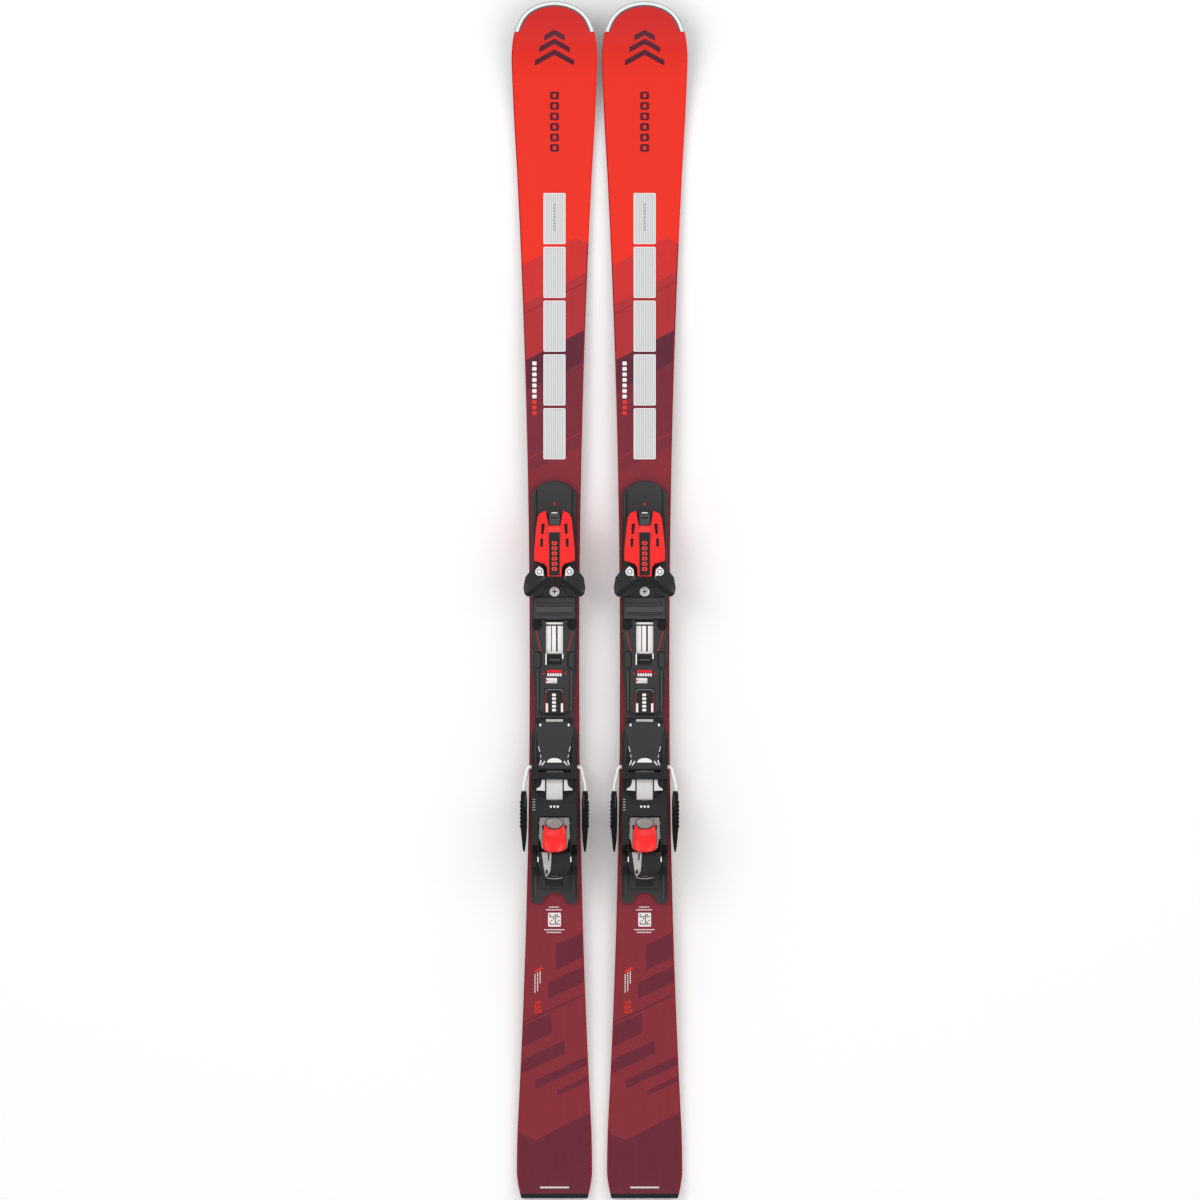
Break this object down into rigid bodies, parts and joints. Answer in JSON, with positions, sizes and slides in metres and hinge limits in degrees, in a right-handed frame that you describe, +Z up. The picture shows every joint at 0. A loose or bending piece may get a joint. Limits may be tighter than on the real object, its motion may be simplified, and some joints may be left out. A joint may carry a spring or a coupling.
{
  "type": "alpine skis with bindings",
  "caption": "Pair of alpine slalom skis, base down and side by side, each with a mounting plate, a toe piece with sprung wings, a sliding friction pad, a step-in heel piece and a ski brake",
  "frame": {"origin": "Centre of the pair's bounding box in plan, at the floor under the bases", "axes": "+X to the right ski, +Y along the skis to the tips, +Z up from the base to the binding"},
  "size_m": [0.2422, 1.6452, 0.098],
  "materials": {
    "wood_core": "raw",
    "sintered_base": "satin",
    "edge_steel": "ground",
    "sidewall_red": "satin",
    "topsheet_red": "gloss",
    "tip_guard_grey": "satin",
    "black_plastic": "satin",
    "plate_black": "satin",
    "pad_grey": "matte",
    "pad_black": "satin",
    "bright_steel": "polished",
    "band_steel": "brushed",
    "wire_steel": "satin",
    "spring_steel": "oiled",
    "binding_red": "gloss",
    "lever_red": "high gloss",
    "lever_alloy": "satin cast"
  },
  "bodies": {
    "left_ski": {"left_core": "wood_core", "left_base": "sintered_base", "left_steel_edges": "edge_steel", "left_sidewalls": "sidewall_red", "left_topsheet": "topsheet_red", "left_tip_guard": "tip_guard_grey", "left_tail_protector": "black_plastic", "left_binding_screws": "bright_steel", "left_mounting_plate": "plate_black", "left_steel_band": "band_steel", "left_centre_cover": "black_plastic", "left_toe_base": "black_plastic", "left_toe_housing": "binding_red", "left_toe_rivets": "bright_steel"},
    "left_latch": {"left_centre_latch": "black_plastic"},
    "left_wing_l": {"left_toe_wing_left": "black_plastic"},
    "left_wing_r": {"left_toe_wing_right": "black_plastic"},
    "left_toe_screw": {"left_toe_din_screw": "bright_steel"},
    "left_afd": {"left_afd_pad": "pad_grey"},
    "left_heel": {"left_heel_base": "black_plastic", "left_heel_axles": "bright_steel"},
    "left_brake": {"left_brake_arms": "wire_steel", "left_brake_pads": "pad_black", "left_brake_pedal": "black_plastic"},
    "left_jaw": {"left_heel_housing": "black_plastic", "left_heel_spring": "spring_steel", "left_heel_tongue": "lever_alloy"},
    "left_lever": {"left_heel_lever": "lever_alloy", "left_heel_lever_pad": "lever_red"},
    "left_heel_screw": {"left_heel_din_screw": "bright_steel"},
    "right_ski": {"right_core": "wood_core", "right_base": "sintered_base", "right_steel_edges": "edge_steel", "right_sidewalls": "sidewall_red", "right_topsheet": "topsheet_red", "right_tip_guard": "tip_guard_grey", "right_tail_protector": "black_plastic", "right_binding_screws": "bright_steel", "right_mounting_plate": "plate_black", "right_steel_band": "band_steel", "right_centre_cover": "black_plastic", "right_toe_base": "black_plastic", "right_toe_housing": "binding_red", "right_toe_rivets": "bright_steel"},
    "right_latch": {"right_centre_latch": "black_plastic"},
    "right_wing_l": {"right_toe_wing_left": "black_plastic"},
    "right_wing_r": {"right_toe_wing_right": "black_plastic"},
    "right_toe_screw": {"right_toe_din_screw": "bright_steel"},
    "right_afd": {"right_afd_pad": "pad_grey"},
    "right_heel": {"right_heel_base": "black_plastic", "right_heel_axles": "bright_steel"},
    "right_brake": {"right_brake_arms": "wire_steel", "right_brake_pads": "pad_black", "right_brake_pedal": "black_plastic"},
    "right_jaw": {"right_heel_housing": "black_plastic", "right_heel_spring": "spring_steel", "right_heel_tongue": "lever_alloy"},
    "right_lever": {"right_heel_lever": "lever_alloy", "right_heel_lever_pad": "lever_red"},
    "right_heel_screw": {"right_heel_din_screw": "bright_steel"}
  },
  "joints": [
    {"name": "left_wing_left_open", "type": "hinge", "parent": "left_ski", "child": "left_wing_l", "pos_m": [-0.0827, 0.039, 0.058], "axis": [0, 0, -1], "range_deg": [0, 35], "stiffness_Nm_per_rad": 1},
    {"name": "left_wing_right_open", "type": "hinge", "parent": "left_ski", "child": "left_wing_r", "pos_m": [-0.0413, 0.039, 0.058], "axis": [0, 0, 1], "range_deg": [0, 35], "stiffness_Nm_per_rad": 1},
    {"name": "left_toe_screw_turn", "type": "hinge", "parent": "left_ski", "child": "left_toe_screw", "pos_m": [-0.062, 0.09, 0.052], "axis": [0, 1, 0], "continuous": true},
    {"name": "left_afd_slide", "type": "slide", "parent": "left_ski", "child": "left_afd", "axis": [1, 0, 0], "range_m": [-0.008, 0.008], "stiffness_N_per_m": 600},
    {"name": "left_latch_lift", "type": "hinge", "parent": "left_ski", "child": "left_latch", "pos_m": [-0.062, -0.1555, 0.0354], "axis": [1, 0, 0], "range_deg": [0, 70]},
    {"name": "left_heel_slide", "type": "slide", "parent": "left_ski", "child": "left_heel", "axis": [0, 1, 0], "range_m": [-0.015, 0.012]},
    {"name": "left_brake_deploy", "type": "hinge", "parent": "left_heel", "child": "left_brake", "pos_m": [-0.062, -0.2295, 0.037], "axis": [1, 0, 0], "range_deg": [0, 62]},
    {"name": "left_heel_open", "type": "hinge", "parent": "left_heel", "child": "left_jaw", "pos_m": [-0.062, -0.356, 0.06], "axis": [1, 0, 0], "range_deg": [0, 45]},
    {"name": "left_lever_press", "type": "hinge", "parent": "left_jaw", "child": "left_lever", "pos_m": [-0.062, -0.306, 0.088], "axis": [1, 0, 0], "range_deg": [0, 18.2]},
    {"name": "left_heel_screw_turn", "type": "hinge", "parent": "left_jaw", "child": "left_heel_screw", "pos_m": [-0.062, -0.33, 0.06], "axis": [0, 1, 0], "continuous": true},
    {"name": "right_wing_left_open", "type": "hinge", "parent": "right_ski", "child": "right_wing_l", "pos_m": [0.0413, 0.039, 0.058], "axis": [0, 0, -1], "range_deg": [0, 35], "stiffness_Nm_per_rad": 1},
    {"name": "right_wing_right_open", "type": "hinge", "parent": "right_ski", "child": "right_wing_r", "pos_m": [0.0827, 0.039, 0.058], "axis": [0, 0, 1], "range_deg": [0, 35], "stiffness_Nm_per_rad": 1},
    {"name": "right_toe_screw_turn", "type": "hinge", "parent": "right_ski", "child": "right_toe_screw", "pos_m": [0.062, 0.09, 0.052], "axis": [0, 1, 0], "continuous": true},
    {"name": "right_afd_slide", "type": "slide", "parent": "right_ski", "child": "right_afd", "axis": [1, 0, 0], "range_m": [-0.008, 0.008], "stiffness_N_per_m": 600},
    {"name": "right_latch_lift", "type": "hinge", "parent": "right_ski", "child": "right_latch", "pos_m": [0.062, -0.1555, 0.0354], "axis": [1, 0, 0], "range_deg": [0, 70]},
    {"name": "right_heel_slide", "type": "slide", "parent": "right_ski", "child": "right_heel", "axis": [0, 1, 0], "range_m": [-0.015, 0.012]},
    {"name": "right_brake_deploy", "type": "hinge", "parent": "right_heel", "child": "right_brake", "pos_m": [0.062, -0.2295, 0.037], "axis": [1, 0, 0], "range_deg": [0, 62]},
    {"name": "right_heel_open", "type": "hinge", "parent": "right_heel", "child": "right_jaw", "pos_m": [0.062, -0.356, 0.06], "axis": [1, 0, 0], "range_deg": [0, 45]},
    {"name": "right_lever_press", "type": "hinge", "parent": "right_jaw", "child": "right_lever", "pos_m": [0.062, -0.306, 0.088], "axis": [1, 0, 0], "range_deg": [0, 18.2]},
    {"name": "right_heel_screw_turn", "type": "hinge", "parent": "right_jaw", "child": "right_heel_screw", "pos_m": [0.062, -0.33, 0.06], "axis": [0, 1, 0], "continuous": true},
    {"name": "pair_slide", "type": "slide", "parent": "left_ski", "child": "right_ski", "axis": [0, 1, 0], "range_m": [-0.3, 0.3]}
  ],
  "couplings": [
    {"joint": "left_lever_press", "follows": "left_heel_open", "ratio": 0.4},
    {"joint": "right_lever_press", "follows": "right_heel_open", "ratio": 0.4}
  ]
}
